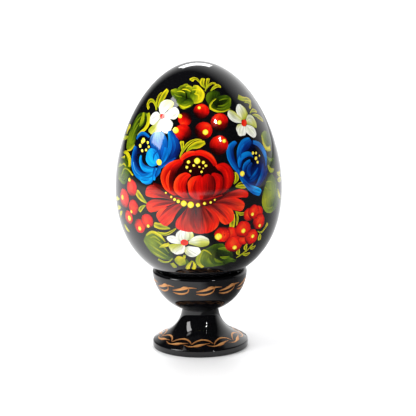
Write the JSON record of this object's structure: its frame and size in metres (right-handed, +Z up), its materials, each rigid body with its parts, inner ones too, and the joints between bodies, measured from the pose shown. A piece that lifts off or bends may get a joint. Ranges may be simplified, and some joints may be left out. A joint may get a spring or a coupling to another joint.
{
  "type": "painted wooden egg on an egg-cup stand",
  "caption": "Black lacquered wooden egg painted with folk flowers and berries, lying loose in a turned wooden egg-cup stand with bronze scroll bands.",
  "frame": {"origin": "centre of the foot's underside, on the axis that both pieces are turned about", "axes": "+Z up along the turning axis to the egg's pointed end, -Y towards the painted front, +X to the right of the painted front"},
  "size_m": [0.05, 0.05, 0.087],
  "materials": {
    "egg_lacquer": "black paint under clear high-gloss lacquer",
    "stand_lacquer": "black paint under clear high-gloss lacquer"
  },
  "bodies": {
    "stand": {"stand": "stand_lacquer"},
    "egg": {"egg": "egg_lacquer"}
  },
  "joints": [
    {"name": "egg_lift", "type": "slide", "parent": "stand", "child": "egg", "axis": [0, 0, 1], "range_m": [0, 0.03]}
  ]
}
